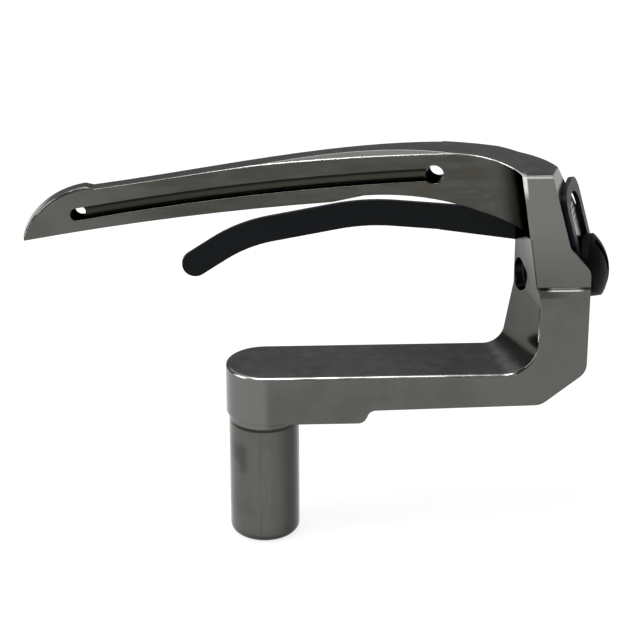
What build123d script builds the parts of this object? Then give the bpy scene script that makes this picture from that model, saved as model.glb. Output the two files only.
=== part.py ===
"""Chain-stitch looper: steel forging with shank, arm, post and blade, a clamped needle guard and its screw.

The origin is on the shank's axis in the shoulder plane, X runs along the arm, Y to the back and Z up.
"""

import os
from math import cos, radians, sin, tan

from build123d import *

# Shank that the machine clamps
shank_diameter = 8.0
shank_length = 15.5
shank_end_round = 1.0

# Arm, with the thicker boss over the shank
arm_width = 9.0
arm_top = 5.75
boss_step = 1.55
boss_length = 11.5
boss_corner_round = 1.0
underside_rise = 0.35
arm_end_offset = 0.2

# Post: inner face at the back, its top and its outer side
post_reach = 28.65
post_thickness = 7.4
post_top = 29.25
post_side_angle = 8.0
outer_chamfer_width = 5.0
outer_chamfer_height = 4.0
outer_chamfer_round = 2.0
back_inner_fillet = 2.4
back_foot = 1.45

# Outer back corner of the post's top, round in plan and spreading downwards
crown_corner_from_post = 6.0
crown_corner_setback = 9.07
crown_corner_round = 10.13
crown_corner_shift = 0.45
crown_corner_spread = 0.65

# Inner face of the post: the front edge stands further out and leans back over the arm
front_edge_offset = 1.9
front_edge_lean = 9.0
front_edge_knee = 14.0
front_inner_fillet = 3.8
throat_top = 21.8
throat_depth = 9.0

# Upper front face of the post, ground back from the arm's face
ledge_height = 16.0
ledge_depth = 0.35

# Blade outline, from the post's inner face towards the point
blade_length = 54.95
blade_crown_from_post = 15.0
blade_crown_rise = 1.2
blade_back_slope_from_post = 33.6
blade_back_slope_drop = 0.62
point_start_from_tip = 7.0
point_start_drop = 2.3
point_step = 0.25
point_step_length = 0.9
point_arc_from_tip = 3.3
point_arc_drop = 3.75
tip_top_drop = 7.85
tip_bottom_drop = 8.5
blade_belly_from_post = 38.0
blade_belly_drop = 6.0
relief_start_from_post = 20.9
relief_start_drop = 4.45
relief_ramp = 3.5
relief_rise = 0.72
relief_end_from_post = 4.45
relief_end_drop = 5.8
relief_bulge_from_post = 10.6
relief_bulge_drop = 4.1
root_drop = 7.0

# Blade thickness and its blend into the post
blade_root_thickness = 4.0
blade_root_from_post = 8.5
blade_mid_from_post = 33.0
blade_mid_setback = 2.2
blade_tip_setback = 3.0
blade_back_lean = 10.0
web_run_over = 1.0

# Facet ground along the front of the blade's top edge
facet_start_from_post = 32.05
facet_start_drop = 0.3
facet_middle_from_post = 17.65
facet_middle_rise = 0.75
facet_end_from_post = 6.35
facet_end_rise = 1.0
facet_slope = 0.36

# Thread groove and eyelets
groove_width = 1.45
groove_depth = 0.8
groove_rise = 0.68
heel_eye_diameter = 2.1
tip_eye_diameter = 1.45
heel_eye_from_post = 9.75
heel_eye_drop = 1.4
tip_eye_from_tip = 5.95
tip_eye_drop = 5.5
heel_eye_turn = 14.0
tip_eye_turn = 14.0
heel_eye_tilt = 6.0

# Inclined seat of the needle guard on the post's outer side
seat_turn = 18.5
seat_lean = 15.2
seat_front_inset = 2.5
seat_front_drop = 8.55
seat_wall_run = 1.66
seat_wall_height = 3.63
seat_wall_round = 1.0
seat_shoulder_round = 2.0

# Needle guard, one folded strip
guard_thickness = 0.5
tab_side_room = 2.0
tab_front_gap = 1.15
tab_rise = 6.0
tab_corner_round = 2.4
slot_width = 4.6
slot_margin = 1.2
finger_width = 3.0
finger_reach = 36.2
finger_end_drop = 13.25
finger_knee_reach = 30.81
finger_knee_drop = 9.72
finger_knee_radius = 16.0
finger_crown_reach = 17.03
finger_crown_drop = 7.17
finger_crown_radius = 24.0
finger_root_drop = 8.75
root_width = 4.1
root_start_from_post = 8.6
fold_round = 1.1
fold_gap = 0.1

# Clamp screw
screw_diameter = 3.6
screw_clearance = 0.05
screw_below_seat_edge = 4.2
screw_length = 6.6
screw_end_chamfer = 0.4
head_diameter = 7.0
head_side = 0.8
head_dome = 1.25
head_slot_width = 1.0
head_slot_depth = 0.9
pocket_clearance = 0.3
pocket_turn = 8.0

# Small roundings of ground and broken edges
edge_round = 0.3
inner_edge_round = 0.4
point_round = 0.3
margin = 5.0

half_width = arm_width / 2
tab_width = arm_width - tab_side_room
screw_from_front = tab_front_gap + tab_width / 2
shank_radius = shank_diameter / 2
post_outer = post_reach + post_thickness
post_outer_back = post_outer + arm_width * tan(radians(post_side_angle))
tip_x = post_reach - blade_length
blade_front_y = half_width - blade_root_thickness
web_fillet_run = half_width + blade_front_y + web_run_over
front_edge_x = post_reach + front_edge_offset
chamfer_slope = outer_chamfer_height / outer_chamfer_width
chamfer_run_at_back = post_outer_back - post_outer + outer_chamfer_width
outer_corner_z = boss_step + underside_rise + chamfer_slope * chamfer_run_at_back

front_plane = Plane.XZ.offset(half_width)
back_plane = Plane.XZ.offset(-half_width)
blade_plane = Plane.XZ.offset(-blade_front_y)

# Frame of the seat: x runs across the seat to the back, y up its front edge, z out of the steel
seat_along = Vector(sin(radians(seat_turn)), cos(radians(seat_turn)), 0)
seat_up = Vector(-sin(radians(seat_lean)), 0, cos(radians(seat_lean)))
seat_corner = Vector(post_outer - seat_front_inset, -half_width, post_top - seat_front_drop)
seat_normal = seat_along.cross(seat_up)
seat_plane = Plane(origin=seat_corner, x_dir=seat_up.cross(seat_normal), z_dir=seat_normal)
screw_point = seat_plane.from_local_coords(Vector(screw_from_front, -screw_below_seat_edge, 0))
screw_plane = Plane(origin=screw_point, x_dir=seat_plane.x_dir, z_dir=seat_plane.z_dir)
head_plane = screw_plane.offset(guard_thickness)
screw_axis = Axis(head_plane.origin, head_plane.z_dir)
screw_section = Plane(origin=head_plane.origin, x_dir=head_plane.x_dir, z_dir=-head_plane.y_dir)

# Fold of the guard: where the seat meets the back of the post, at the strip's lower edge
strip_low = post_top - finger_root_drop - root_width / 2
fold_up = (strip_low - seat_corner.Z) / cos(radians(seat_lean))
fold_along = arm_width / cos(radians(seat_turn))
fold_inside = seat_corner + seat_along * fold_along + seat_up * fold_up
ear_start = seat_corner + seat_along * (screw_from_front + tab_width / 2 - margin / 10) + seat_up * fold_up
ear_thickness = guard_thickness * cos(radians(seat_turn)) / seat_plane.z_dir.X

heel_eye = Vector(post_reach - heel_eye_from_post, post_top - heel_eye_drop)
tip_eye = Vector(tip_x + tip_eye_from_tip, post_top - tip_eye_drop)


def eyelet_plane(eye: Vector, turn: float, tilt: float) -> Plane:
    """Plane on the blade's front face at an eyelet, its normal turned about Z and tilted up, in degrees."""
    face_point = Vector(eye.X, blade_front_y, eye.Y)
    normal = Vector(-sin(radians(turn)), -cos(radians(turn)), sin(radians(tilt)))
    return Plane(origin=face_point, x_dir=Vector(0, 0, 1).cross(normal), z_dir=normal)


with BuildPart() as looper:
    # Arm and post as one bent bar, its left end round about the shank
    with BuildSketch(Plane.XZ) as bar:
        with BuildLine():
            FilletPolyline(
                (-half_width, 0),
                (boss_length, 0),
                (boss_length, boss_step),
                (post_outer - outer_chamfer_width, boss_step + underside_rise),
                (post_outer_back, outer_corner_z),
                (post_outer_back, post_top),
                (post_reach, post_top),
                (post_reach, front_edge_knee),
                (post_reach - back_foot, arm_top),
                (-half_width, arm_top),
                radius=(
                    0,
                    boss_corner_round,
                    boss_corner_round,
                    outer_chamfer_round,
                    0,
                    0,
                    0,
                    0,
                    back_inner_fillet,
                    0,
                ),
                close=True,
            )
        make_face()
    extrude(amount=half_width, both=True)

    # Blade, full width until its faces are cut
    with BuildSketch(Plane.XZ) as blade_outline:
        with BuildLine():
            Spline(
                (post_reach, post_top),
                (post_reach - blade_crown_from_post, post_top + blade_crown_rise),
                (post_reach - blade_back_slope_from_post, post_top - blade_back_slope_drop),
                (tip_x + point_start_from_tip + point_step_length, post_top - point_start_drop - point_step),
            )
            Line(
                (tip_x + point_start_from_tip + point_step_length, post_top - point_start_drop - point_step),
                (tip_x + point_start_from_tip, post_top - point_start_drop),
            )
            ThreePointArc(
                (tip_x + point_start_from_tip, post_top - point_start_drop),
                (tip_x + point_arc_from_tip, post_top - point_arc_drop),
                (tip_x, post_top - tip_top_drop),
            )
            Line((tip_x, post_top - tip_top_drop), (tip_x, post_top - tip_bottom_drop))
            ThreePointArc(
                (tip_x, post_top - tip_bottom_drop),
                (post_reach - blade_belly_from_post, post_top - blade_belly_drop),
                (post_reach - relief_start_from_post, post_top - relief_start_drop),
            )
            Line(
                (post_reach - relief_start_from_post, post_top - relief_start_drop),
                (
                    post_reach - relief_start_from_post + relief_ramp,
                    post_top - relief_start_drop + relief_rise,
                ),
            )
            ThreePointArc(
                (
                    post_reach - relief_start_from_post + relief_ramp,
                    post_top - relief_start_drop + relief_rise,
                ),
                (post_reach - relief_bulge_from_post, post_top - relief_bulge_drop),
                (post_reach - relief_end_from_post, post_top - relief_end_drop),
            )
            Polyline(
                (post_reach - relief_end_from_post, post_top - relief_end_drop),
                (post_reach, post_top - root_drop),
                (post_reach, post_top),
            )
        make_face()
    extrude(amount=half_width, both=True)

    # Round end of the arm, concentric with the shank
    with BuildSketch(Plane.XY) as arm_end:
        with Locations((arm_end_offset, 0)):
            Rectangle(2 * margin, arm_width + 2 * margin, align=(Align.MAX, Align.CENTER))
            Circle(half_width, mode=Mode.SUBTRACT)
    extrude(amount=arm_top + margin, mode=Mode.SUBTRACT)

    # Outer side of the post, drawn in towards the front
    with BuildSketch(Plane.XY) as outer_side:
        with BuildLine():
            Polyline(
                (post_outer, -half_width),
                (post_outer_back, half_width),
                (post_outer_back + margin, half_width),
                (post_outer_back + margin, -half_width),
                close=True,
            )
        make_face()
    extrude(amount=post_top + margin, mode=Mode.SUBTRACT)
    outer_corner = (post_outer, 0, boss_step + underside_rise + outer_chamfer_height)
    fillet(looper.edges().sort_by_distance(outer_corner)[0], radius=outer_chamfer_round)

    # Inner face of the post, ruled from its back line to the leaning front edge
    with BuildSketch(back_plane) as throat_back:
        with BuildLine():
            FilletPolyline(
                (post_reach - throat_depth, arm_top),
                (post_reach - back_foot, arm_top),
                (post_reach, front_edge_knee),
                (post_reach, throat_top),
                (post_reach - throat_depth, throat_top),
                radius=(0, back_inner_fillet, 0, 0, 0),
                close=True,
            )
        make_face()
    with BuildSketch(front_plane) as throat_front:
        with BuildLine():
            FilletPolyline(
                (post_reach - throat_depth, arm_top),
                (front_edge_x, arm_top),
                (front_edge_x, front_edge_knee),
                (front_edge_x - (throat_top - front_edge_knee) * tan(radians(front_edge_lean)), throat_top),
                (post_reach - throat_depth, throat_top),
                radius=(0, front_inner_fillet, 0, 0, 0),
                close=True,
            )
        make_face()
    loft(ruled=True, mode=Mode.SUBTRACT)

    # Front of the blade: its low end, then the part that sweeps out to the post's leaning front edge
    with BuildSketch(Plane.XY.offset(arm_top + margin)) as blade_low_front:
        with Locations((post_reach - throat_depth, blade_front_y)):
            Rectangle(blade_length, arm_width, align=(Align.MAX, Align.MAX))
    extrude(amount=throat_top - arm_top - margin, mode=Mode.SUBTRACT)
    web_top_x = front_edge_x - (throat_top - front_edge_knee) * tan(radians(front_edge_lean))
    with BuildSketch(Plane.XY.offset(throat_top)) as blade_front:
        with BuildLine():
            Line((tip_x - margin, blade_front_y), (web_top_x - web_fillet_run, blade_front_y))
            TangentArc(
                (web_top_x - web_fillet_run, blade_front_y),
                (web_top_x, -half_width),
                tangent=(1, 0),
            )
            Polyline(
                (web_top_x, -half_width),
                (web_top_x, -half_width - margin),
                (tip_x - margin, -half_width - margin),
                (tip_x - margin, blade_front_y),
            )
        make_face()
    extrude(
        amount=post_top - throat_top + margin,
        dir=(-sin(radians(front_edge_lean)), 0, cos(radians(front_edge_lean))),
        mode=Mode.SUBTRACT,
    )

    # Back of the blade, hollow ground and leaning forwards to a thin top edge
    with BuildSketch(Plane.XY.offset(post_top + margin)) as blade_back:
        lean_shift = margin * tan(radians(blade_back_lean))
        with BuildLine():
            ThreePointArc(
                (post_reach - blade_root_from_post, half_width - lean_shift),
                (post_reach - blade_mid_from_post, half_width - blade_mid_setback - lean_shift),
                (tip_x, half_width - blade_tip_setback - lean_shift),
            )
            Polyline(
                (tip_x, half_width - blade_tip_setback - lean_shift),
                (tip_x - margin, half_width - blade_tip_setback - lean_shift),
                (tip_x - margin, half_width + margin),
                (post_reach - blade_root_from_post, half_width + margin),
                (post_reach - blade_root_from_post, half_width - lean_shift),
            )
        make_face()
    extrude(
        amount=post_top + 2 * margin - throat_top,
        dir=(0, sin(radians(blade_back_lean)), -cos(radians(blade_back_lean))),
        mode=Mode.SUBTRACT,
    )

    # Facet along the front of the top edge, widest at the crown
    with BuildSketch(blade_plane) as facet:
        facet_start = (post_reach - facet_start_from_post, post_top - facet_start_drop)
        facet_end = (post_reach - facet_end_from_post, post_top + facet_end_rise)
        with BuildLine():
            ThreePointArc(
                facet_start,
                (post_reach - facet_middle_from_post, post_top + facet_middle_rise),
                facet_end,
            )
            Polyline(
                facet_end,
                (post_reach - facet_end_from_post, post_top + margin),
                (post_reach - facet_start_from_post, post_top + margin),
                facet_start,
            )
        make_face()
    extrude(amount=margin, dir=(0, 1, facet_slope), mode=Mode.SUBTRACT)

    # Upper front face of the post, set back at the ledge
    with BuildSketch(Plane.XY.offset(ledge_height)) as ledge:
        with Locations((post_reach - margin, -half_width + ledge_depth)):
            Rectangle(post_thickness + 2 * margin, margin, align=(Align.MIN, Align.MAX))
    extrude(amount=post_top, mode=Mode.SUBTRACT)

    # Edges broken by the grinding: round the arm and up the inner side of the post
    arm_edge = (boss_length, -half_width, arm_top)
    fillet(looper.edges().sort_by_distance(arm_edge)[0], radius=edge_round)
    inner_edge = (web_top_x, -half_width + ledge_depth, (ledge_height + throat_top) / 2)
    fillet(looper.edges().sort_by_distance(inner_edge)[0], radius=inner_edge_round)

    # Inclined seat with a sloping lower wall that rounds over to the outer side
    with BuildSketch(Plane(origin=seat_corner, x_dir=seat_plane.z_dir, z_dir=-seat_along)) as seat_cut:
        with BuildLine():
            FilletPolyline(
                (0, post_top),
                (0, 0),
                (seat_wall_run, -seat_wall_height),
                (seat_wall_run + margin, -seat_wall_height),
                (seat_wall_run + margin, post_top),
                radius=(0, seat_wall_round, 0, 0, 0),
                close=True,
            )
        make_face()
    extrude(amount=2 * arm_width, both=True, mode=Mode.SUBTRACT)
    seat_foot = ((post_outer + post_outer_back) / 2, 0, seat_corner.Z - seat_wall_height / 2)
    fillet(looper.edges().sort_by_distance(seat_foot)[0], radius=seat_shoulder_round)

    # Pocket below the seat for the guard's tab and the screw's head
    with BuildSketch(screw_plane) as pocket:
        pocket_radius = head_diameter / 2 + pocket_clearance
        Circle(pocket_radius)
        Rectangle(2 * pocket_radius, screw_below_seat_edge + seat_wall_round, align=(Align.CENTER, Align.MIN))
        Rectangle(2 * arm_width, 2 * pocket_radius, align=(Align.MIN, Align.CENTER))
    extrude(
        amount=margin,
        dir=(cos(radians(pocket_turn)), -sin(radians(pocket_turn)), sin(radians(seat_lean))),
        mode=Mode.SUBTRACT,
    )

    # Back corner of the seat, rounded under the guard's fold
    with BuildSketch(Plane.XY.offset(strip_low)) as fold_corner:
        with BuildLine():
            FilletPolyline(
                (ear_start.X, ear_start.Y),
                (fold_inside.X, fold_inside.Y),
                (post_reach, half_width),
                (post_reach, half_width + margin),
                (fold_inside.X + margin, half_width + margin),
                (ear_start.X + margin, ear_start.Y),
                radius=(0, fold_round + fold_gap, 0, 0, 0, 0),
                close=True,
            )
        make_face()
    extrude(amount=post_top, dir=seat_up, mode=Mode.SUBTRACT)

    # Outer back corner of the top, round in plan
    with BuildSketch(Plane.XY.offset(post_top)) as crown_corner:
        with Locations((post_reach - crown_corner_from_post, half_width - crown_corner_setback)):
            Rectangle(2 * crown_corner_round, 2 * crown_corner_round, align=Align.MIN)
            Circle(crown_corner_round, mode=Mode.SUBTRACT)
    extrude(
        amount=2 * margin,
        dir=(crown_corner_shift, crown_corner_spread, -1),
        both=True,
        mode=Mode.SUBTRACT,
    )

    # Threaded hole of the clamp screw
    with BuildSketch(screw_plane) as screw_hole:
        Circle(screw_diameter / 2 + screw_clearance)
    extrude(amount=-2 * post_thickness, mode=Mode.SUBTRACT)

    # Thread groove along the blade, with an eyelet at each end
    groove_middle = (heel_eye + tip_eye) / 2 + Vector(0, groove_rise)
    with BuildSketch(blade_plane) as groove:
        with BuildLine(mode=Mode.PRIVATE) as groove_line:
            ThreePointArc(tip_eye, groove_middle, heel_eye)
        SlotArc(groove_line.edge(), groove_width)
    extrude(amount=-groove_depth, mode=Mode.SUBTRACT)
    with BuildSketch(eyelet_plane(heel_eye, heel_eye_turn, heel_eye_tilt)) as heel_eyelet:
        Circle(heel_eye_diameter / 2)
    extrude(amount=2 * blade_root_thickness, both=True, mode=Mode.SUBTRACT)
    with BuildSketch(eyelet_plane(tip_eye, tip_eye_turn, 0)) as tip_eyelet:
        Circle(tip_eye_diameter / 2)
    extrude(amount=2 * blade_root_thickness, both=True, mode=Mode.SUBTRACT)

    # Shank below the shoulder, with its rounded end
    with BuildSketch(Plane.XZ) as shank_profile:
        with BuildLine():
            FilletPolyline(
                (0, margin / 2),
                (0, -shank_length),
                (shank_radius, -shank_length),
                (shank_radius, margin / 2),
                radius=(0, 0, shank_end_round, 0),
                close=True,
            )
        make_face()
    revolve(axis=Axis.Z)

    # Front edge of the point, broken by the grinding
    point_edge = (tip_x + point_arc_from_tip, blade_front_y, post_top - point_arc_drop)
    fillet(looper.edges().sort_by_distance(point_edge)[0], radius=point_round)
looper.part.label = "looper"

with BuildPart() as needle_guard:
    # Tab on the seat, with its adjusting slot
    with BuildSketch(seat_plane) as tab:
        with Locations((screw_from_front, -screw_below_seat_edge)):
            Circle(tab_width / 2)
            Rectangle(tab_width, tab_rise + screw_below_seat_edge, align=(Align.CENTER, Align.MIN))
        fillet(tab.vertices().group_by(Axis.Y)[-1], radius=tab_corner_round)
    extrude(amount=guard_thickness)
    with BuildSketch(seat_plane) as tab_slot:
        slot_low = -screw_below_seat_edge
        slot_high = tab_rise - slot_margin - slot_width / 2
        with Locations((screw_from_front, (slot_low + slot_high) / 2)):
            SlotCenterToCenter(slot_high - slot_low, slot_width, rotation=90)
    extrude(amount=guard_thickness, mode=Mode.SUBTRACT)

    # Ear that folds from the tab round the post's corner to its back, leaning with the seat
    with BuildSketch(Plane.XY.offset(strip_low)) as ear:
        ear_out = Vector(cos(radians(seat_turn)), -sin(radians(seat_turn))) * ear_thickness
        fold_run = (ear_thickness + guard_thickness * sin(radians(seat_turn))) / cos(radians(seat_turn))
        with BuildLine():
            FilletPolyline(
                (ear_start.X, ear_start.Y),
                (fold_inside.X, fold_inside.Y),
                (post_reach, half_width),
                (post_reach, half_width + guard_thickness),
                (fold_inside.X + fold_run, half_width + guard_thickness),
                (ear_start.X + ear_out.X, ear_start.Y + ear_out.Y),
                radius=(0, fold_round, 0, 0, fold_round + guard_thickness, 0),
                close=True,
            )
        make_face()
    extrude(amount=root_width / cos(radians(seat_lean)), dir=seat_up)

    # Strip behind the post and the curved finger under the blade
    with BuildSketch(back_plane) as strip:
        with BuildLine():
            FilletPolyline(
                (post_reach - finger_reach, post_top - finger_end_drop),
                (post_reach - finger_knee_reach, post_top - finger_knee_drop),
                (post_reach - finger_crown_reach, post_top - finger_crown_drop),
                (post_reach, post_top - finger_root_drop),
                radius=(finger_knee_radius, finger_crown_radius),
            )
            offset(amount=finger_width / 2, side=Side.BOTH, mode=Mode.REPLACE)
        make_face()
        with BuildLine():
            Polyline(
                (post_reach - root_start_from_post, post_top - finger_root_drop + finger_width / 2),
                (post_reach - root_start_from_post, post_top - finger_root_drop - finger_width / 4),
                (post_reach, strip_low),
                (post_reach, strip_low + root_width),
                close=True,
            )
        make_face()
    extrude(amount=-guard_thickness)
needle_guard.part.label = "needle_guard"

with BuildPart() as clamp_screw:
    # Turned in place about the axis of its hole
    with BuildSketch(screw_section) as screw_profile:
        with BuildLine():
            Polyline(
                (0, head_side + head_dome),
                (0, -screw_length),
                (screw_diameter / 2 - screw_end_chamfer, -screw_length),
                (screw_diameter / 2, -screw_length + screw_end_chamfer),
                (screw_diameter / 2, 0),
                (head_diameter / 2, 0),
                (head_diameter / 2, head_side),
            )
            RadiusArc(
                (head_diameter / 2, head_side),
                (0, head_side + head_dome),
                -((head_diameter / 2) ** 2 + head_dome**2) / (2 * head_dome),
            )
        make_face()
    revolve(axis=screw_axis)
    with BuildSketch(head_plane.offset(head_side + head_dome)) as head_slot:
        Rectangle(head_slot_width, 2 * head_diameter)
    extrude(amount=-head_slot_depth, mode=Mode.SUBTRACT)
clamp_screw.part.label = "clamp_screw"

os.makedirs("parts", exist_ok=True)
export_step(looper.part, "parts/looper.step")
export_step(needle_guard.part, "parts/needle_guard.step")
export_step(clamp_screw.part, "parts/clamp_screw.step")
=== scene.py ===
"""Chain-stitch looper in a plain studio: ground steel forging, blackened needle guard and clamp screw.

Lengths in the dataclasses are millimetres in the row frame; Blender takes metres.
"""

import logging
import math
from abc import ABC, abstractmethod
from dataclasses import dataclass, field
from enum import Enum
from typing import Any, Iterable

import bpy
import numpy as np
from mathutils import Matrix, Vector


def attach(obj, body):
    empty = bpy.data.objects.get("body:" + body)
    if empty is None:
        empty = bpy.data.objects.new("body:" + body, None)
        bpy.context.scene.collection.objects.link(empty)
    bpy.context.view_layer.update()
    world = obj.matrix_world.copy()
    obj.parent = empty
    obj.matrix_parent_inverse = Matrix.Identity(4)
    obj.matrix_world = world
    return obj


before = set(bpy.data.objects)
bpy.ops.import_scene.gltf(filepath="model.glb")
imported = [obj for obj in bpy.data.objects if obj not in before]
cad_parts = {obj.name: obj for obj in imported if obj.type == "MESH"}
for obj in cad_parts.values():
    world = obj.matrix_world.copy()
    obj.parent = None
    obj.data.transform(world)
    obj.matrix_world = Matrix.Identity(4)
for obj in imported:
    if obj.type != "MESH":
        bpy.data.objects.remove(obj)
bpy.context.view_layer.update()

MM = 0.001
WHITE = "#ffffff"
LOG = logging.getLogger("looper_scene")

Socket = bpy.types.NodeSocket
Colour = tuple[float, float, float, float]
Point = tuple[float, float, float]


class Measure(Enum):
    """What a mask can follow on a surface; lengths are millimetres."""

    X = "place along the arm"
    Y = "place from front to back"
    Z = "height over the shank's shoulder"
    FACING_X = "sideways part of the way the face looks"
    FACING_Y = "backward part of the way the face looks"
    FACING_Z = "upward part of the way the face looks"
    ROUNDED_Z = "upward part of the way the face looks with its edges rounded"
    EDGE = "agreement of the face with its rounded form, 1 away from edges"
    GROOVE = "offset from the groove's centre line, above 0 on the upper side"
    FROM_GROOVE = "distance from the groove's centre line"
    FROM_SCREW = "distance from the screw's axis"
    POST_EDGE = "place along the arm, evened out up the post's leaning front edge"
    GUARD_EDGE = "height, evened out along the guard's sloping lower edge"
    NEAR_SKY = "share of open sky over the face, 0 in tight corners of the piece"
    FAR_SKY = "share of open sky over the face, 0 in deep hollows between pieces"


class Tone(str, Enum):
    """Tones of the steel as sRGB hex, from painted highlights down to painted shade."""

    # Painted highlights and painted sheen on edges, the ledge and the post's corner.
    PAINTED_HIGHLIGHT = "#e4e4e0"
    PAINTED_EDGE_HIGHLIGHT = "#c8c8c3"
    PAINTED_EDGE_SHEEN = "#787875"
    # Upper front of the post, painted lighter for the light its face catches.
    PAINTED_LIGHT_FACE = "#70706d"
    ARM_END = "#6c6c6a"
    CLEAN = "#5f5f5c"
    FILM = "#52524d"
    LINT = "#4b473c"
    GROOVE = "#45433b"
    BLADE = "#43423d"
    # Painted shade on the shank's right side, also the tone of a real smudge.
    SHADE_AND_SMUDGE = "#3d3d3a"
    # Real stains and pits, also painted shade in corners, under the ledge and on the post's inner side.
    STAIN_AND_SHADE = "#33332f"
    # Painted shadow under the arm's shoulder.
    PAINTED_SHADOW_LINE = "#26261f"
    # Painted shade and a painted reflection of the dark guard in hollows, holes, the groove and the throat.
    PAINTED_SHADE = "#161615"


def linear(hex_colour: str) -> Colour:
    """Turn an sRGB hex colour into a linear RGBA colour.

    Args:
        hex_colour: Colour such as "#626262".

    Returns:
        Linear red, green, blue and an alpha of 1.
    """
    channels = np.array([int(hex_colour[i : i + 2], 16) for i in (1, 3, 5)]) / 255.0
    values = np.where(channels <= 0.04045, channels / 12.92, ((channels + 0.055) / 1.055) ** 2.4)
    return (float(values[0]), float(values[1]), float(values[2]), 1.0)


def add_node(
    tree: bpy.types.NodeTree,
    kind: str,
    settings: dict[str, Any] | None = None,
    inputs: dict[Any, Any] | None = None,
) -> bpy.types.Node:
    """Add one node with its settings, and fill or link its input sockets.

    Args:
        tree: Node tree that takes the node.
        kind: Blender's type name of the node.
        settings: Attributes of the node and their values.
        inputs: Input sockets by name or number; a value that is a socket is linked, any other is set.

    Returns:
        The new node.
    """
    node = tree.nodes.new(kind)
    for name, value in (settings or {}).items():
        setattr(node, name, value)
    for key, value in (inputs or {}).items():
        if isinstance(value, Socket):
            tree.links.new(value, node.inputs[key])
        else:
            node.inputs[key].default_value = value
    return node


def mesh_from_grid(name: str, grid: np.ndarray, material: bpy.types.Material) -> bpy.types.Object:
    """Make a smooth mesh object from a grid of points.

    The grid's first index runs along the surface and the second across it; each cell becomes one quad.

    Args:
        name: Name of the object and its mesh.
        grid: Points in millimetres, shaped (rows, columns, 3).
        material: Finish of the whole surface.

    Returns:
        The object, linked to the scene.
    """
    rows, columns, _ = grid.shape
    index = np.arange(rows * columns).reshape(rows, columns)
    corners = [index[:-1, :-1], index[1:, :-1], index[1:, 1:], index[:-1, 1:]]
    quads = np.stack(corners, axis=-1).reshape(-1, 4)
    mesh = bpy.data.meshes.new(name)
    mesh.vertices.add(rows * columns)
    mesh.vertices.foreach_set("co", (grid * MM).reshape(-1))
    mesh.loops.add(quads.size)
    mesh.loops.foreach_set("vertex_index", quads.reshape(-1))
    mesh.polygons.add(len(quads))
    mesh.polygons.foreach_set("loop_start", np.arange(0, quads.size, 4))
    mesh.polygons.foreach_set("use_smooth", np.ones(len(quads), dtype=bool))
    mesh.update(calc_edges=True)
    mesh.validate()
    mesh.materials.append(material)
    piece = bpy.data.objects.new(name, mesh)
    bpy.context.scene.collection.objects.link(piece)
    LOG.info("built %s with %s", name, material.name)
    return piece


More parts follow.
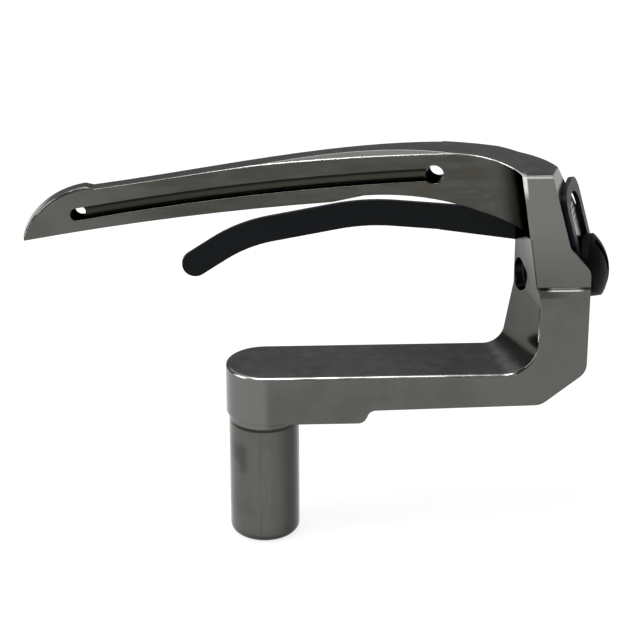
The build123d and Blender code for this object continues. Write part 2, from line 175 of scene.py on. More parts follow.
@dataclass
class Painter:
    """Node tree of one material, with measures of the surface and small tools to mask and paint it."""

    name: str
    material: bpy.types.Material = field(init=False)
    tree: bpy.types.NodeTree = field(init=False)
    place: Socket = field(init=False)
    normal: Socket = field(init=False)
    measures: dict[Measure, Socket] = field(init=False, default_factory=dict)
    masks: dict["Limit", Socket] = field(init=False, default_factory=dict)

    def __post_init__(self) -> None:
        """Start an empty material, and measure each point's place and the way its face looks."""
        self.material = bpy.data.materials.new(self.name)
        self.material.use_nodes = True
        self.tree = self.material.node_tree
        self.tree.nodes.clear()
        coordinates = self.add("ShaderNodeTexCoord").outputs["Object"]
        self.place = self.vector("MULTIPLY", coordinates, (1.0 / MM,) * 3)
        self.normal = self.add("ShaderNodeNewGeometry").outputs["Normal"]
        self.measures.update(zip((Measure.X, Measure.Y, Measure.Z), self.parts(self.place)))
        facing = (Measure.FACING_X, Measure.FACING_Y, Measure.FACING_Z)
        self.measures.update(zip(facing, self.parts(self.normal)))

    def add(
        self, kind: str, settings: dict[str, Any] | None = None, inputs: dict[Any, Any] | None = None
    ) -> bpy.types.Node:
        """Add one node to this material; see add_node."""
        return add_node(self.tree, kind, settings, inputs)

    def math(self, operation: str, *terms: Socket | float) -> Socket:
        """Add one operation on numbers, named in Blender's words."""
        return self.add("ShaderNodeMath", {"operation": operation}, dict(enumerate(terms))).outputs["Value"]

    def vector(self, operation: str, *terms: Socket | Point, result: str = "Vector") -> Socket:
        """Add one operation on vectors, named in Blender's words; result names the output that is used."""
        node = self.add("ShaderNodeVectorMath", {"operation": operation}, dict(enumerate(terms)))
        return node.outputs[result]

    def parts(self, vector: Socket) -> tuple[Socket, Socket, Socket]:
        """Split a vector into its X, Y and Z."""
        outputs = self.add("ShaderNodeSeparateXYZ", inputs={"Vector": vector}).outputs
        return outputs["X"], outputs["Y"], outputs["Z"]

    def noise(self, size: float, detail: float, stretch: Point = (1.0, 1.0, 1.0)) -> Socket:
        """Add a noise pattern.

        Args:
            size: Length of one blotch in millimetres.
            detail: Number of finer layers.
            stretch: Scale of the place on each axis; a small value draws the pattern out along that axis.

        Returns:
            The pattern's grey level.
        """
        mapping = self.add("ShaderNodeMapping", inputs={"Vector": self.place, "Scale": stretch})
        pattern = self.add(
            "ShaderNodeTexNoise",
            inputs={
                "Vector": mapping.outputs["Vector"],
                "Scale": 1.0 / size,
                "Detail": detail,
                "Roughness": 0.6,
            },
        )
        return pattern.outputs["Fac"]

    def step(
        self, value: Socket, start: float, full: float, level: float = 1.0, base: float = 0.0
    ) -> Socket:
        """Add a smooth step.

        Args:
            value: Socket that the step follows.
            start: Value where the step leaves its base; it may lie above full, for a step the other way.
            full: Value where the step reaches its level.
            level: Level at the full end.
            base: Level at the start.

        Returns:
            The step's level.
        """
        node = self.add(
            "ShaderNodeMapRange",
            {"interpolation_type": "SMOOTHSTEP"},
            {"Value": value, "From Min": start, "From Max": full, "To Min": base, "To Max": level},
        )
        return node.outputs["Result"]

    def all_of(self, *masks: Socket) -> Socket:
        """Multiply masks, so that the result is on where all of them are."""
        result = masks[0]
        for mask in masks[1:]:
            result = self.math("MULTIPLY", result, mask)
        return result

    def mask(self, limit: "Limit") -> Socket:
        """Give a limit's mask, which is added once and then used again."""
        if limit not in self.masks:
            self.masks[limit] = limit.draw(self)
        return self.masks[limit]

    def lay(self, below: Colour, patches: Iterable["Patch"]) -> Socket:
        """Lay patches over a colour, one after another.

        Args:
            below: Linear colour of the lowest layer.
            patches: Patches from the lowest up.

        Returns:
            The colour with all patches on it.
        """
        colour = below
        for patch in patches:
            shown = self.all_of(*(self.mask(limit) for limit in patch.limits))
            node = self.add(
                "ShaderNodeMix",
                {"data_type": "RGBA"},
                {"Factor": shown, "A": colour, "B": linear(patch.tone)},
            )
            colour = node.outputs["Result"]
        return colour

    def round_edges(self, radius: float, samples: int) -> Socket:
        """Round the edges in the light, and measure where they are.

        Args:
            radius: Radius of the rounding in millimetres.
            samples: Number of samples that look for edges.

        Returns:
            The way the rounded face looks.
        """
        bevel = self.add("ShaderNodeBevel", {"samples": samples}, {"Radius": radius * MM})
        rounded = bevel.outputs["Normal"]
        self.measures[Measure.EDGE] = self.vector("DOT_PRODUCT", self.normal, rounded, result="Value")
        self.measures[Measure.ROUNDED_Z] = self.parts(rounded)[2]
        return rounded

    def measure_sky(self, measure: Measure, reach: float, local: bool) -> None:
        """Measure the share of open sky over the face.

        Args:
            measure: Name of the measure.
            reach: Distance in millimetres at which other surfaces stop counting.
            local: True counts only the piece itself.
        """
        node = self.add(
            "ShaderNodeAmbientOcclusion", {"samples": 12, "only_local": local}, {"Distance": reach * MM}
        )
        self.measures[measure] = node.outputs["AO"]

    def bump(self, height: Socket, depth: float, strength: float, normal: Socket) -> Socket:
        """Add relief of a depth in millimetres on top of another direction."""
        node = self.add(
            "ShaderNodeBump",
            inputs={"Strength": strength, "Distance": depth * MM, "Height": height, "Normal": normal},
        )
        return node.outputs["Normal"]

    def close(self, **inputs: Any) -> bpy.types.Material:
        """Add the shader and the output.

        Args:
            inputs: Sockets or values of the shader, with underscores for the spaces in their names.

        Returns:
            The finished material.
        """
        named = {key.replace("_", " "): value for key, value in inputs.items()}
        shader = self.add("ShaderNodeBsdfPrincipled", inputs=named)
        self.add("ShaderNodeOutputMaterial", inputs={"Surface": shader.outputs["BSDF"]})
        return self.material


class Limit(ABC):
    """One bound of a patch; each kind draws its own mask."""

    @abstractmethod
    def draw(self, paint: Painter) -> Socket:
        """Add the nodes of the mask, which is 1 where the patch may show."""


@dataclass(frozen=True)
class Fade(Limit):
    """Bound that comes on along a measure, from its base at start to its level at full."""

    measure: Measure
    start: float
    full: float
    level: float = 1.0
    base: float = 0.0

    def draw(self, paint: Painter) -> Socket:
        """Add the step."""
        return paint.step(paint.measures[self.measure], self.start, self.full, self.level, self.base)


@dataclass(frozen=True)
class Band(Limit):
    """Bound that is on between two values of a measure, and fades over a soft width beyond each."""

    measure: Measure
    low: float
    high: float
    soft: float
    level: float = 1.0

    def draw(self, paint: Painter) -> Socket:
        """Add a rising and a falling step."""
        value = paint.measures[self.measure]
        rise = paint.step(value, self.low - self.soft, self.low, self.level)
        return paint.all_of(rise, paint.step(value, self.high + self.soft, self.high))


@dataclass(frozen=True)
class Mottle(Limit):
    """Bound with a ragged, blotchy edge; size is the length of one blotch in millimetres."""

    size: float
    detail: float
    start: float
    full: float
    level: float = 1.0
    base: float = 0.0
    stretch: Point = (1.0, 1.0, 1.0)

    def draw(self, paint: Painter) -> Socket:
        """Add a step that follows a noise pattern."""
        pattern = paint.noise(self.size, self.detail, self.stretch)
        return paint.step(pattern, self.start, self.full, self.level, self.base)


@dataclass(frozen=True)
class Outside(Limit):
    """Bound that is on where another one is off."""

    limit: Limit

    def draw(self, paint: Painter) -> Socket:
        """Add the other mask, turned round."""
        return paint.step(paint.mask(self.limit), start=1.0, full=0.0)


@dataclass(frozen=True)
class Patch:
    """Area of one tone, which shows where all its limits are on."""

    tone: str
    limits: tuple[Limit, ...]


@dataclass(frozen=True)
class ScrewLine:
    """Axis of the clamp screw: a corner of the guard's seat, and the angles and lengths from there."""

    corner: Point = (33.55, -4.5, 20.7)
    turn: float = 18.5
    lean: float = 15.2
    from_front: float = 4.65
    below_edge: float = 4.2

    def frame(self) -> tuple[np.ndarray, np.ndarray, np.ndarray, np.ndarray]:
        """Work out the seat's frame.

        Returns:
            The screw's point on the seat, and unit vectors across the seat, up it and out of the steel.
        """
        turn, lean = math.radians(self.turn), math.radians(self.lean)
        level = np.array([math.sin(turn), math.cos(turn), 0.0])
        up = np.array([-math.sin(lean), 0.0, math.cos(lean)])
        out = np.cross(level, up)
        out /= np.linalg.norm(out)
        along = np.cross(up, out)
        point = np.array(self.corner) + along * self.from_front - up * self.below_edge
        return point, along, up, out


@dataclass(frozen=True)
class GroundSteel:
    """Hardened tool steel, ground and polished, then dulled by handling, oil and thread lint.

    A grey metal with a soft mirror that picks up the pale floor. Painted highlights brighten the edges that
    look up, the ledge and the post's corner, and the upper front of the post is painted lighter for the
    light it catches. The blade has a dark olive film. Painted shade darkens the corners, the groove, the
    screw's hole and the eyelets, and the throat under the blade carries painted shade and a painted
    reflection of the guard.
    """

    name: str = "ground_tool_steel"
    roughness: float = 0.17
    edge_width: float = 0.22
    edge_samples: int = 12
    mottle_size: float = 1.4
    mottle_depth: float = 0.015
    line_width: float = 0.07
    line_depth: float = 0.004
    line_stretch: Point = (0.02, 0.02, 1.0)
    relief: float = 0.2
    crevice_reach: float = 1.2
    hollow_reach: float = 6.0
    tip_eye: tuple[float, float] = (-20.35, 23.75)
    groove_middle: tuple[float, float] = (-0.725, 26.48)
    heel_eye: tuple[float, float] = (18.9, 27.85)
    tip_eye_reach: float = 1.2
    heel_eye_reach: float = 1.9
    groove_half: float = 0.725
    arm_top: float = 5.75
    ledge: float = 16.0
    blade_bottom: float = 20.0
    post_edge_lean: float = 0.127
    guard_bottom: float = 20.4
    guard_slope: float = 0.4
    bore_radius: float = 1.86
    screw: ScrewLine = ScrewLine()

    def groove_offset(self, paint: Painter) -> Socket:
        """Measure how far a point lies from the groove's centre line.

        The line is the arc through both eyelets and the groove's middle, so the offset is the distance from
        the arc's centre less the arc's radius.

        Args:
            paint: Painter of the steel.

        Returns:
            Offset in millimetres, above 0 on the upper side.
        """
        tip, middle, heel = map(np.array, (self.tip_eye, self.groove_middle, self.heel_eye))
        sides = 2.0 * np.array([middle - tip, heel - tip])
        squares = np.array([middle @ middle - tip @ tip, heel @ heel - tip @ tip])
        centre = np.linalg.solve(sides, squares)
        radius = float(np.linalg.norm(tip - centre))
        flat = paint.vector("MULTIPLY", paint.place, (1.0, 0.0, 1.0))
        away = paint.vector("DISTANCE", flat, (float(centre[0]), 0.0, float(centre[1])), result="Value")
        return paint.math("SUBTRACT", away, radius)

    def screw_distance(self, paint: Painter) -> Socket:
        """Measure how far a point lies from the screw's axis.

        Args:
            paint: Painter of the steel.

        Returns:
            Distance in millimetres.
        """
        point, _, _, out = self.screw.frame()
        arm = paint.vector("SUBTRACT", paint.place, tuple(point.tolist()))
        across = paint.vector("CROSS_PRODUCT", arm, tuple(out.tolist()))
        return paint.vector("LENGTH", across, result="Value")

    def measure(self, paint: Painter) -> None:
        """Measure what the marks follow: the groove, the screw, both slanted edges and the hollows."""
        x, y, z = (paint.measures[axis] for axis in (Measure.X, Measure.Y, Measure.Z))
        offset = self.groove_offset(paint)
        paint.measures[Measure.GROOVE] = offset
        paint.measures[Measure.FROM_GROOVE] = paint.math("ABSOLUTE", offset)
        paint.measures[Measure.FROM_SCREW] = self.screw_distance(paint)
        paint.measures[Measure.POST_EDGE] = paint.math("MULTIPLY_ADD", z, self.post_edge_lean, x)
        paint.measures[Measure.GUARD_EDGE] = paint.math("MULTIPLY_ADD", y, self.guard_slope, z)
        paint.measure_sky(Measure.NEAR_SKY, self.crevice_reach, True)
        paint.measure_sky(Measure.FAR_SKY, self.hollow_reach, False)

    def all_over(self) -> tuple[Patch, ...]:
        """List the film of old oil and the pits, which lie all over the steel."""
        film = Mottle(size=7.0, detail=5.0, start=0.42, full=0.72, level=0.7)
        pits = Mottle(size=0.6, detail=2.0, start=0.74, full=0.79, level=0.6)
        return Patch(Tone.FILM, (film,)), Patch(Tone.STAIN_AND_SHADE, (pits,))

    def on_shank_and_arm(self) -> tuple[Patch, ...]:
        """List the marks on the shank and the arm, from the lowest up.

        Returns:
            Drawn streaks, painted shade on the shank's right flank, a smudge, a painted shadow line under
            the arm, a lighter end, painted shade in the inner corner and a painted highlight on the top
            edge.
        """
        shank = Fade(Measure.Z, start=-1.0, full=-1.3)
        streaks = Mottle(size=0.45, detail=3.0, start=0.45, full=0.75, level=0.6, stretch=(1.0, 1.0, 0.03))
        smudge = (
            Fade(Measure.X, start=-1.6, full=-2.6),
            Band(Measure.Z, low=-6.0, high=-4.0, soft=1.4),
            Mottle(size=3.2, detail=3.0, start=0.28, full=0.52, level=0.6),
        )
        arm_end = (
            Fade(Measure.X, start=0.7, full=-0.3),
            Band(Measure.Z, low=-0.8, high=9.0, soft=0.1),
            Fade(Measure.FACING_Z, start=0.6, full=0.2),
        )
        # Painted shade in the corner where the arm meets the post.
        inner_corner_shade = (
            Fade(Measure.X, start=12.0, full=23.0, level=0.6),
            Fade(Measure.FACING_Z, start=0.1, full=0.5),
            Fade(Measure.Z, start=14.0, full=12.0),
        )
        # Painted highlight along the arm's top front edge.
        arm_edge_highlight = (
            Band(Measure.FACING_Z, low=0.3, high=0.93, soft=0.1, level=0.85),
            Fade(Measure.FACING_Y, start=-0.2, full=-0.4),
            Band(Measure.Z, low=self.arm_top - 0.32, high=self.arm_top + 0.05, soft=0.05),
            Fade(Measure.X, start=-3.5, full=-1.5),
            Mottle(size=1.6, detail=3.0, start=0.3, full=0.62, base=0.35, stretch=(0.5, 1.0, 1.0)),
        )
        return (
            Patch(Tone.FILM, (shank, streaks)),
            # Painted shade on the shank's right side.
            Patch(Tone.SHADE_AND_SMUDGE, (shank, Fade(Measure.X, start=0.6, full=3.3))),
            Patch(Tone.SHADE_AND_SMUDGE, smudge),
            # Painted shadow line under the arm's shoulder.
            Patch(Tone.PAINTED_SHADOW_LINE, (Band(Measure.Z, low=-1.2, high=-0.95, soft=0.15, level=0.85),)),
            Patch(Tone.ARM_END, arm_end),
            Patch(Tone.STAIN_AND_SHADE, inner_corner_shade),
            Patch(Tone.PAINTED_HIGHLIGHT, arm_edge_highlight),
        )

    def on_post(self) -> tuple[Patch, ...]:
        """List the marks on the post's front, from the lowest up.

        Returns:
            The upper face painted lighter for the light it catches, painted shade under the ledge, a painted
            highlight on the ledge with painted shade on its left end, and painted highlights on the corner
            and top.
        """
        front = (Fade(Measure.FACING_Y, start=-0.6, full=-0.95), Fade(Measure.Y, start=-3.6, full=-4.1))
        # Painted shade under the ledge.
        shade_under_ledge = (
            Band(Measure.Z, low=self.ledge - 0.9, high=self.ledge - 0.2, soft=0.3, level=0.7),
            Fade(Measure.X, start=34.5, full=31.0),
        )
        # Painted highlight on the ledge.
        ledge_highlight = (
            Band(Measure.Z, low=self.ledge - 0.2, high=self.ledge + 0.05, soft=0.06, level=0.8),
            Band(Measure.X, low=32.0, high=34.6, soft=0.9),
            Fade(Measure.Y, start=-3.9, full=-4.05),
        )
        # Painted shade on the ledge's left end.
        ledge_end_shade = (
            Band(Measure.Z, low=self.ledge - 0.05, high=self.ledge + 0.1, soft=0.05),
            Fade(Measure.X, start=31.8, full=31.0),
            Fade(Measure.Y, start=-3.9, full=-4.1),
        )
        # Painted highlight on the post's upper-left corner.
        corner = (
            Band(Measure.POST_EDGE, low=31.8, high=32.15, soft=0.18, level=0.9),
            Band(Measure.Z, low=28.0, high=29.6, soft=1.8),
            Fade(Measure.Y, start=-3.0, full=-3.6),
        )
        # Painted highlight along the post's top front edge.
        top = (
            Band(Measure.Z, low=29.0, high=29.4, soft=0.12, level=0.6),
            Fade(Measure.X, start=34.0, full=31.0),
        )
        return (
            # Upper front face painted lighter for the light it catches.
            Patch(Tone.PAINTED_LIGHT_FACE, (*front, Fade(Measure.Z, start=self.ledge, full=self.ledge + 9.0))),
            Patch(Tone.STAIN_AND_SHADE, (*front, *shade_under_ledge)),
            Patch(Tone.PAINTED_HIGHLIGHT, ledge_highlight),
            Patch(Tone.STAIN_AND_SHADE, ledge_end_shade),
            Patch(Tone.PAINTED_HIGHLIGHT, corner),
            Patch(Tone.PAINTED_HIGHLIGHT, (*front, *top)),
        )

    def on_blade(self) -> tuple[Patch, ...]:
        """List the marks on the blade's front and in its groove, from the lowest up.

        Returns:
            An olive film, clouds of lint near the heel, and the groove's floor and stained end, with painted
            shade on its upper half and lower wall.
        """
        blade_height = Fade(Measure.Z, start=self.blade_bottom, full=self.blade_bottom + 0.5)
        front = (
            Fade(Measure.FACING_Y, start=-0.3, full=-0.9),
            blade_height,
            Fade(Measure.Y, start=-1.5, full=0.3),
        )
        olive = (
            Mottle(size=1.1, detail=4.0, start=0.3, full=0.7, base=0.6, stretch=(0.2, 1.0, 1.0)),
            Fade(Measure.X, start=-24.0, full=-6.0, base=0.1),
            Fade(Measure.X, start=27.0, full=21.0, base=0.95),
        )
        lint = (
            Mottle(size=2.2, detail=4.0, start=0.5, full=0.68, level=0.55),
            Fade(Measure.X, start=12.0, full=20.0),
        )
        groove = (
            Band(Measure.GROOVE, low=-self.groove_half, high=self.groove_half, soft=0.1),
            Fade(Measure.Y, start=0.52, full=0.6),
            Fade(Measure.FACING_Y, start=0.5, full=0.2),
            blade_height,
        )
        return (
            Patch(Tone.BLADE, (*front, *olive)),
            Patch(Tone.LINT, (*front, *lint)),
            Patch(Tone.GROOVE, groove),
            Patch(Tone.STAIN_AND_SHADE, (*groove, Fade(Measure.X, start=6.0, full=-14.0, level=0.6))),
            # Painted shade on the groove's upper half and on its lower wall.
            Patch(Tone.PAINTED_SHADE, (*groove, Fade(Measure.GROOVE, start=0.0, full=0.32, level=0.9))),
            Patch(Tone.PAINTED_SHADE, (*groove, Fade(Measure.GROOVE, start=-0.55, full=-0.7))),
        )

    def shade_in_throat(self) -> tuple[Patch, Patch]:
        """List the painted shade on the post's inner side.

        Returns:
            The side in painted shade, and its part behind the guard with painted shade and a painted
            reflection of the guard.
        """
        inner_side = (
            Fade(Measure.FACING_X, start=-0.35, full=-0.85),
            Fade(Measure.X, start=18.0, full=22.0),
        )
        # Painted shade on the post's inner side.
        stained = Fade(Measure.FACING_X, start=-0.35, full=-0.85, level=0.4)
        # Painted reflection of the dark guard, with painted shade, behind the guard.
        guard_reflection_shade = Fade(
            Measure.GUARD_EDGE, start=self.guard_bottom - 0.3, full=self.guard_bottom + 0.3, level=0.8
        )
        return Patch(Tone.STAIN_AND_SHADE, (*inner_side, stained)), Patch(Tone.PAINTED_SHADE, (*inner_side, guard_reflection_shade))

    def shade_in_holes(self) -> tuple[Patch, ...]:
        """List the painted shade deep in the steel.

        Returns:
            Painted shade in crevices, on the wall of the screw's hole and on the walls of both eyelets.
        """
        # Painted shade in the forging's tight corners.
        crevice_shade = (
            Fade(Measure.NEAR_SKY, start=0.86, full=0.48, level=0.95),
            Fade(Measure.Y, start=-4.1, full=-3.9),
        )
        # Painted shade inside the screw's hole.
        bore_shade = Fade(Measure.FROM_SCREW, start=self.bore_radius + 0.06, full=self.bore_radius)
        # Painted shade on the walls of the eyelets.
        eyelet_wall = (
            Band(Measure.FACING_Y, low=-0.6, high=0.6, soft=0.15),
            Fade(Measure.Y, start=0.55, full=0.7),
            Fade(Measure.Z, start=21.5, full=22.0),
            Band(Measure.GROOVE, low=-1.7, high=1.7, soft=0.1, level=0.85),
        )
        eyelets = (
            Band(Measure.X, low=eye[0] - reach, high=eye[0] + reach, soft=0.2)
            for eye, reach in ((self.tip_eye, self.tip_eye_reach), (self.heel_eye, self.heel_eye_reach))
        )
        return (
            Patch(Tone.PAINTED_SHADE, crevice_shade),
            Patch(Tone.PAINTED_SHADE, (bore_shade,)),
            *(Patch(Tone.PAINTED_SHADE, (*eyelet_wall, near)) for near in eyelets),
        )

    def edge_highlights(self) -> tuple[Patch, ...]:
        """List the painted highlights on the edges.

        Returns:
            Painted highlights on the blade's ground facet and on all edges that look up, and painted sheen
            on the post's inner front edge.
        """
        # Edge mask; every patch that uses it is a painted highlight or painted sheen.
        broken = Fade(Measure.EDGE, start=0.997, full=0.93, level=0.9)
        off_ledge = Outside(Band(Measure.Z, low=self.ledge - 0.3, high=self.ledge + 0.4, soft=0.1))
        off_groove = Fade(Measure.FROM_GROOVE, start=1.0, full=1.25)
        # Painted highlight on the blade's ground facet.
        facet = (
            Fade(Measure.EDGE, start=0.9985, full=0.988, level=0.75),
            Band(Measure.X, low=0.0, high=24.0, soft=3.0),
            Fade(Measure.Z, start=28.0, full=28.4),
            off_groove,
        )
        # Painted sheen on the post's rounded inner front edge.
        post_edge = (
            broken,
            Band(Measure.X, low=28.0, high=32.5, soft=0.5),
            Band(Measure.Z, low=8.0, high=24.0, soft=1.5),
            Fade(Measure.Y, start=-3.2, full=-3.8),
            off_ledge,
        )
        # Painted highlight on the edges that look up.
        upward_edge_highlight = (
            broken,
            Fade(Measure.ROUNDED_Z, start=0.1, full=0.4),
            off_groove,
            Fade(Measure.X, start=-12.0, full=6.0, base=0.1),
            off_ledge,
        )
        return Patch(Tone.PAINTED_EDGE_HIGHLIGHT, facet), Patch(Tone.PAINTED_EDGE_SHEEN, post_edge), Patch(Tone.PAINTED_EDGE_HIGHLIGHT, upward_edge_highlight)

    def build(self) -> bpy.types.Material:
        """Make the material.

        Returns:
            Metal with zones, film, mottling, grinding lines, pits, painted shade in the hollows and painted
            highlights on the edges.
        """
        paint = Painter(self.name)
        rounded = paint.round_edges(self.edge_width, self.edge_samples)
        self.measure(paint)
        inner, behind = self.shade_in_throat()
        holes = self.shade_in_holes()
        # Painted shade in deep hollows between pieces, such as the throat near the guard.
        hollow_shade = Patch(Tone.PAINTED_SHADE, (Fade(Measure.FAR_SKY, start=0.68, full=0.30, level=0.85),))
        marks = (*self.all_over(), *self.on_shank_and_arm(), *self.on_post(), *self.on_blade())
        mottle = paint.noise(self.mottle_size, detail=4.0)
        lines = paint.noise(self.line_width, detail=2.0, stretch=self.line_stretch)
        grain = paint.bump(lines, self.line_depth, self.relief, rounded)
        return paint.close(
            Base_Color=paint.lay(
                linear(Tone.CLEAN), (*marks, inner, behind, hollow_shade, *self.edge_highlights(), *holes)
            ),
            Metallic=1.0,
            Roughness=paint.step(
                mottle, start=0.3, full=0.7, level=self.roughness + 0.04, base=self.roughness - 0.03
            ),
            # The painted shade in the throat and the holes also dims the reflections there.
            Specular_Tint=paint.lay(linear(WHITE), (behind, inner, *holes)),
            Normal=paint.bump(mottle, self.mottle_depth, self.relief, grain),
        )


@dataclass(frozen=True)
class PlainSteel:
    """Small steel surface of one tone: a thread in painted shade, or a seat cut bare and bright."""

    name: str
    colour: str
    roughness: float
    metallic: float
    gloss: float = 0.1

    def build(self) -> bpy.types.Material:
        """Make the material: steel with an even gloss."""
        return Painter(self.name).close(
            Base_Color=linear(self.colour),
            Metallic=self.metallic,
            Roughness=self.roughness,
            Specular_IOR_Level=self.gloss,
        )


@dataclass(frozen=True)
class BlackOxide:
    """Steel blackened in hot alkaline salts and oiled.

    Nearly black with a cold tint, a satin gloss, and a little bare steel where edges have rubbed.
    """

    name: str
    colour: str
    rubbed: str
    roughness: float
    gloss: float
    edge_width: float = 0.12
    edge_samples: int = 6
    grain_size: float = 0.35
    grain_depth: float = 0.01
    relief: float = 0.3

    def build(self) -> bpy.types.Material:
        """Make the material.

        Returns:
            Black satin coat with fine grain and faintly rubbed edges.
        """
        paint = Painter(self.name)
        rounded = paint.round_edges(self.edge_width, self.edge_samples)
        grain = paint.noise(self.grain_size, detail=3.0)
        edges = Patch(self.rubbed, (Fade(Measure.EDGE, start=0.98, full=0.86, level=0.35),))
        return paint.close(
            Base_Color=paint.lay(linear(self.colour), (edges,)),
            Metallic=0.0,
            Roughness=paint.step(
                grain, start=0.3, full=0.7, level=self.roughness + 0.05, base=self.roughness - 0.05
            ),
            Specular_IOR_Level=self.gloss,
            Normal=paint.bump(grain, self.grain_depth, self.relief, rounded),
        )


def dress_node(node_name: str, material: bpy.types.Material) -> None:
    """Give one CAD node its finish.

    Args:
        node_name: Name of the node in the frame.
        material: Finish of the whole node.
    """
    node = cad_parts[node_name]
    node.data.materials.clear()
    node.data.materials.append(material)
    LOG.info("dressed %s with %s", node_name, material.name)


@dataclass
class TappedThread:
    """Thread cut in the post's screw hole, shown where the screw leaves the hole free."""

    # Near black, as painted shade inside the hole.
    finish: PlainSteel = PlainSteel("shaded_tapped_steel", "#0c0c0b", roughness=0.5, metallic=0.0)
    line: ScrewLine = ScrewLine()
    outer_radius: float = 1.84
    depth: float = 0.25
    pitch: float = 0.64
    near: float = 6.15
    far: float = 6.85
    ring_steps: int = 72
    rows_per_pitch: int = 16

    def build(self) -> None:
        """Build the helical wall of the hole.

        A point at angle a and depth t along the axis has the radius R - D * w, where w is a triangle wave
        of (t / pitch - a / 2 pi), so crests climb one pitch in each turn.
        """
        point, along, up, out = self.line.frame()
        angle = np.linspace(0.0, 2.0 * math.pi, self.ring_steps + 1)
        rows = int((self.far - self.near) / self.pitch * self.rows_per_pitch) + 1
        turn, down = np.meshgrid(angle, np.linspace(self.near, self.far, rows))
        phase = np.mod(down / self.pitch - turn / (2.0 * math.pi), 1.0)
        wave = 1.0 - np.abs(2.0 * phase - 1.0)
        radius = self.outer_radius - self.depth * wave
        grid = (
            point
            - down[..., None] * out
            + (radius * np.cos(turn))[..., None] * along
            + (radius * np.sin(turn))[..., None] * up
        )
        piece = mesh_from_grid("tapped_thread", grid, self.finish.build())
        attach(piece, "root")


@dataclass
class SeatFace:
    """Bare face of the guard's seat, with ripples that the cutter left, seen through the tab's slot."""

    finish: PlainSteel = PlainSteel("bare_milled_steel", "#8a8a86", roughness=0.22, metallic=1.0)
    line: ScrewLine = ScrewLine()
    half_width: float = 2.25
    low: float = 3.2
    high: float = 8.9
    corner_reach: float = 5.8
    corner_height: float = 8.4
    corner_slope: float = 0.55
    wavelength: float = 0.72
    ripple_middle: float = 7.2
    ripple_reach: float = 1.9
    height: float = 0.06
    lift: float = 0.012
    rows: int = 121
    columns: int = 25

    def build(self) -> None:
        """Build the face.

        A point at t up the seat rises by lift + height * r * b * (1 + cos(2 pi t / wavelength)) / 2, where r
        falls to nothing away from the ripples' middle and b towards both sides. The far side of the patch is
        a straight line that stays inside the seat's rounded corner.
        """
        point, along, up, out = self.line.frame()
        shares = np.linspace(0.0, 1.0, self.columns)
        share, climb = np.meshgrid(shares, np.linspace(self.low, self.high, self.rows))
        corner = self.corner_reach - self.line.from_front
        limit = corner + (self.corner_height - climb) * self.corner_slope
        across = -self.half_width + share * (np.minimum(self.half_width, limit) + self.half_width)
        ripple = np.clip(1.0 - ((climb - self.ripple_middle) / self.ripple_reach) ** 2, 0.0, 1.0)
        wave = (1.0 + np.cos(2.0 * math.pi * climb / self.wavelength)) / 2.0
        belly = 1.0 - (2.0 * share - 1.0) ** 2
        height = self.lift + self.height * ripple * wave * belly
        grid = point + across[..., None] * along + climb[..., None] * up + height[..., None] * out
        piece = mesh_from_grid("seat_face", grid[::-1], self.finish.build())
        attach(piece, "root")


@dataclass
class LooperForging:
    """Steel forging with shank, arm, post and blade."""

    finish: GroundSteel = GroundSteel()
    thread: TappedThread = field(default_factory=TappedThread)
    seat: SeatFace = field(default_factory=SeatFace)

    def build(self) -> None:
        """Dress the forging and add the thread and the seat's bare face."""
        dress_node("looper", self.finish.build())
        self.thread.build()
        self.seat.build()


@dataclass
class NeedleGuard:
    """Blackened spring-steel guard with its slotted tab."""

    finish: BlackOxide = BlackOxide(
        "black_oxide_spring_steel", "#0d1215", rubbed="#22282b", roughness=0.38, gloss=0.12
    )

    def build(self) -> None:
        """Dress the guard."""
        dress_node("needle_guard", self.finish.build())


@dataclass
class ClampScrew:
    """Blackened slotted screw with a domed head."""

    finish: BlackOxide = BlackOxide(
        "black_oxide_screw_steel", "#080909", rubbed="#202122", roughness=0.45, gloss=0.05
    )

    def build(self) -> None:
        """Dress the screw."""
        dress_node("clamp_screw", self.finish.build())


@dataclass
class StudioFloor:
    """Pale floor that is white to the eye and in reflections, and keeps a soft shadow."""

    size: float = 8000.0
    level: float = -15.5
    glow: float = 0.84
    grey: str = "#787878"

    def dress(self) -> bpy.types.Material:
        """Make the floor's material.

        Returns:
            Matt grey that takes the shadow, with a glow that only the eye and reflections see.
        """
        material = bpy.data.materials.new("pale_floor")
        material.use_nodes = True
        tree = material.node_tree
        tree.nodes.clear()
        path = add_node(tree, "ShaderNodeLightPath").outputs
        shown = path["Is Camera Ray"]
        for ray in ("Is Glossy Ray", "Is Transmission Ray"):
            either = add_node(tree, "ShaderNodeMath", {"operation": "MAXIMUM"}, {0: shown, 1: path[ray]})
            shown = either.outputs["Value"]
        strength = add_node(tree, "ShaderNodeMath", {"operation": "MULTIPLY"}, {0: shown, 1: self.glow})
        glow = add_node(tree, "ShaderNodeEmission", inputs={"Strength": strength.outputs["Value"]})
        matt = add_node(tree, "ShaderNodeBsdfDiffuse", inputs={"Color": linear(self.grey)})
        both = add_node(
            tree, "ShaderNodeAddShader", inputs={0: glow.outputs["Emission"], 1: matt.outputs["BSDF"]}
        )
        add_node(tree, "ShaderNodeOutputMaterial", inputs={"Surface": both.outputs["Shader"]})
        return material

    def build(self) -> None:
        """Build the floor under the shank."""
        side = np.linspace(-self.size / 2.0, self.size / 2.0, 3)
        across, along = np.meshgrid(side, side)
        grid = np.stack([across, along, np.full_like(across, self.level)], axis=-1)
        floor = mesh_from_grid("floor", grid[:, ::-1], self.dress())


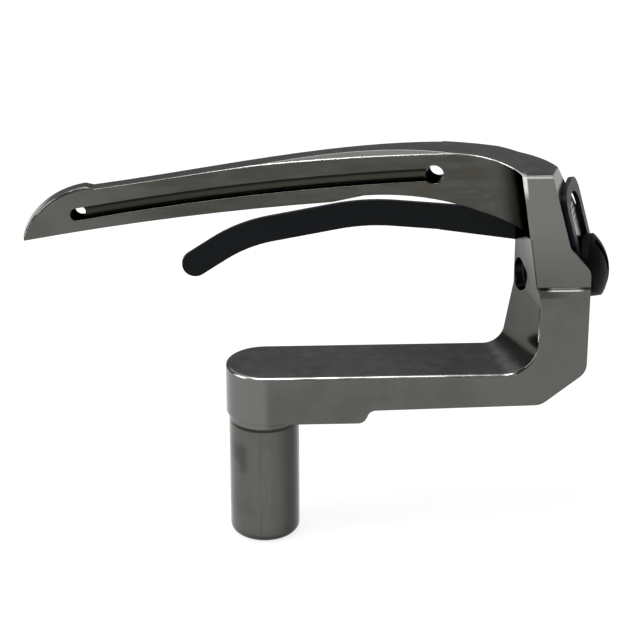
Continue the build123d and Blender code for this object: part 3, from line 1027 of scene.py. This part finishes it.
@dataclass(frozen=True)
class Softbox:
    """One rectangular lamp that faces a point on the part; its power is in watts."""

    name: str
    place: Point
    width: float
    height: float
    power: float
    target: Point = (5.0, 0.0, 12.0)

    def build(self) -> None:
        """Build the lamp, turned to its target."""
        lamp = bpy.data.lights.new(self.name, "AREA")
        lamp.shape = "RECTANGLE"
        lamp.size = self.width * MM
        lamp.size_y = self.height * MM
        lamp.energy = self.power
        holder = bpy.data.objects.new(self.name, lamp)
        holder.location = Vector(self.place) * MM
        aim = (Vector(self.target) - Vector(self.place)).normalized()
        holder.rotation_euler = aim.to_track_quat("-Z", "Y").to_euler()
        bpy.context.scene.collection.objects.link(holder)
        LOG.info("placed lamp %s", self.name)


@dataclass
class Studio:
    """Soft studio: pale floor, grey room and softboxes."""

    floor: StudioFloor = field(default_factory=StudioFloor)
    room: str = "#909294"
    lamps: tuple[Softbox, ...] = (
        Softbox("back_softbox", (-20.0, 190.0, 420.0), width=600.0, height=600.0, power=1.7),
        Softbox("top_softbox", (-60.0, -120.0, 420.0), width=200.0, height=200.0, power=1.2),
        Softbox("left_softbox", (-380.0, -60.0, 120.0), width=250.0, height=400.0, power=1.6),
    )

    def light_room(self) -> None:
        """Light the room evenly; the camera sees it white."""
        world = bpy.data.worlds.new("studio_room")
        world.use_nodes = True
        tree = world.node_tree
        tree.nodes.clear()
        light = add_node(tree, "ShaderNodeBackground", inputs={"Color": linear(self.room)})
        white = add_node(tree, "ShaderNodeBackground", inputs={"Color": linear(WHITE)})
        path = add_node(tree, "ShaderNodeLightPath")
        seen = add_node(
            tree,
            "ShaderNodeMixShader",
            inputs={
                0: path.outputs["Is Camera Ray"],
                1: light.outputs["Background"],
                2: white.outputs["Background"],
            },
        )
        add_node(tree, "ShaderNodeOutputWorld", inputs={"Surface": seen.outputs["Shader"]})
        bpy.context.scene.world = world

    def build(self) -> None:
        """Build floor, room light and lamps."""
        self.floor.build()
        self.light_room()
        for lamp in self.lamps:
            lamp.build()


@dataclass
class PhotoCamera:
    """Camera at the photograph's viewing angle; angles are degrees, and the focal length is in pixels."""

    place: Point = (-3.1, -235.9, 115.95)
    azimuth: float = 2.3
    pitch: float = 24.0
    focal_pixels: float = 2300.0
    picture_pixels: float = 640.0
    sensor: float = 36.0
    nearest: float = 10.0
    farthest: float = 20000.0

    def build(self) -> None:
        """Build the camera and make it the scene's own."""
        data = bpy.data.cameras.new("photo_camera")
        data.sensor_width = self.sensor
        data.lens = self.focal_pixels / self.picture_pixels * self.sensor
        data.clip_start = self.nearest * MM
        data.clip_end = self.farthest * MM
        camera = bpy.data.objects.new("photo_camera", data)
        turn, down = math.radians(self.azimuth), math.radians(self.pitch)
        right = Vector((math.cos(turn), -math.sin(turn), 0.0))
        ahead = Vector((math.sin(turn) * math.cos(down), math.cos(turn) * math.cos(down), -math.sin(down)))
        axes = Matrix((right, right.cross(ahead), -ahead)).transposed()
        camera.matrix_world = Matrix.Translation(Vector(self.place) * MM) @ axes.to_4x4()
        bpy.context.scene.collection.objects.link(camera)
        bpy.context.scene.camera = camera
        LOG.info("placed %s", camera.name)


def clear_start_objects() -> None:
    """Remove the cube, lamp and camera of Blender's start scene, if they are there."""
    for name in ("Cube", "Light", "Camera"):
        start = bpy.data.objects.get(name)
        if start is not None:
            bpy.data.objects.remove(start)


def main() -> None:
    """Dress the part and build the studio."""
    logging.basicConfig(level=logging.INFO, format="%(message)s")
    clear_start_objects()
    LooperForging().build()
    NeedleGuard().build()
    ClampScrew().build()
    Studio().build()
    PhotoCamera().build()
    bpy.context.scene.view_settings.view_transform = "Standard"
    bpy.context.view_layer.update()


if __name__ == "__main__":
    main()
